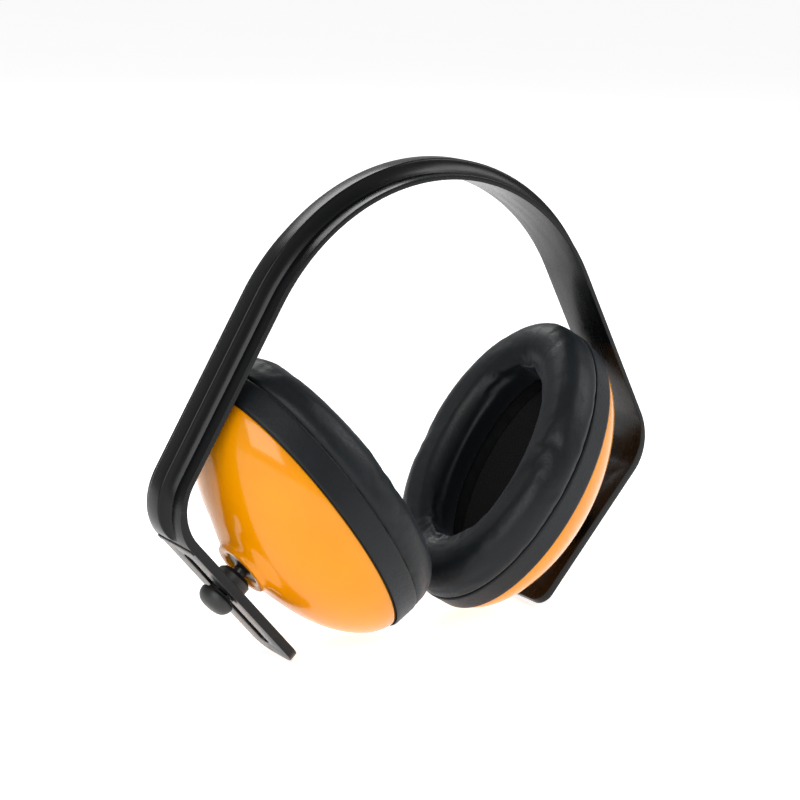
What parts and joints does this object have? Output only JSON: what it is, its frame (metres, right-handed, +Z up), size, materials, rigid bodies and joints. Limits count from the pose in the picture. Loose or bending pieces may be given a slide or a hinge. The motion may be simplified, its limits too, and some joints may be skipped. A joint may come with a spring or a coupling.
{
  "type": "earmuff hearing protector",
  "caption": "Earmuff hearing protector: glossy yellow oval cups with black leatherette cushions that slide, swivel and tilt on the slotted ends of a black ribbed headband.",
  "frame": {"origin": "middle of the headband's inner face at the crown, where the band rests on the head", "axes": "+X to the wearer's right cup along the widest extent, +Y towards the back of the head, +Z up"},
  "size_m": [0.191, 0.0652, 0.1527],
  "materials": {
    "band_plastic": "satin black injection-moulded plastic",
    "cup_plastic": "glossy yellow-orange moulded plastic",
    "knob_plastic": "satin black moulded plastic",
    "stud_plastic": "smooth black acetal",
    "inner_plastic": "plain black moulded plastic",
    "cushion_skin": "black vinyl leatherette, fine pebble grain, soft sheen",
    "cushion_foam": "soft open-cell polyurethane foam",
    "ear_foam": "dark open-cell sound-absorbing foam"
  },
  "bodies": {
    "headband": {"headband": "band_plastic"},
    "left_slider": {"left_slider": "knob_plastic"},
    "left_stud": {"left_ball_stud": "stud_plastic", "left_knob": "knob_plastic"},
    "left_liner": {"left_ball_liner": "stud_plastic"},
    "left_cup": {"left_cup_shell": "cup_plastic", "left_retaining_ring": "inner_plastic", "left_seal_plate": "inner_plastic", "left_cushion_carrier": "inner_plastic", "left_cushion_foam": "cushion_foam", "left_cushion_skin": "cushion_skin", "left_ear_foam": "ear_foam"},
    "right_slider": {"right_slider": "knob_plastic"},
    "right_stud": {"right_ball_stud": "stud_plastic", "right_knob": "knob_plastic"},
    "right_liner": {"right_ball_liner": "stud_plastic"},
    "right_cup": {"right_cup_shell": "cup_plastic", "right_retaining_ring": "inner_plastic", "right_seal_plate": "inner_plastic", "right_cushion_carrier": "inner_plastic", "right_cushion_foam": "cushion_foam", "right_cushion_skin": "cushion_skin", "right_ear_foam": "ear_foam"}
  },
  "joints": [
    {"name": "left_slide", "type": "slide", "parent": "headband", "child": "left_slider", "axis": [-0.6626, 0, 0.749], "range_m": [-0.002, 0.0012]},
    {"name": "left_swivel", "type": "hinge", "parent": "left_slider", "child": "left_stud", "pos_m": [-0.06239, 0, -0.11468], "axis": [0.749, 0, 0.6626], "range_deg": [-90, 90]},
    {"name": "left_nod", "type": "hinge", "parent": "left_stud", "child": "left_liner", "pos_m": [-0.06239, 0, -0.11468], "axis": [0, 1, 0], "range_deg": [-1, 12]},
    {"name": "left_turn", "type": "hinge", "parent": "left_liner", "child": "left_cup", "pos_m": [-0.06239, 0, -0.11468], "axis": [0.6626, 0, -0.749], "range_deg": [-8, 8]},
    {"name": "right_slide", "type": "slide", "parent": "headband", "child": "right_slider", "axis": [0.6626, 0, 0.749], "range_m": [-0.002, 0.0012]},
    {"name": "right_swivel", "type": "hinge", "parent": "right_slider", "child": "right_stud", "pos_m": [0.06239, 0, -0.11468], "axis": [0.749, 0, -0.6626], "range_deg": [-90, 90]},
    {"name": "right_nod", "type": "hinge", "parent": "right_stud", "child": "right_liner", "pos_m": [0.06239, 0, -0.11468], "axis": [0, -1, 0], "range_deg": [-1, 12]},
    {"name": "right_turn", "type": "hinge", "parent": "right_liner", "child": "right_cup", "pos_m": [0.06239, 0, -0.11468], "axis": [0.6626, 0, 0.749], "range_deg": [-8, 8]}
  ]
}
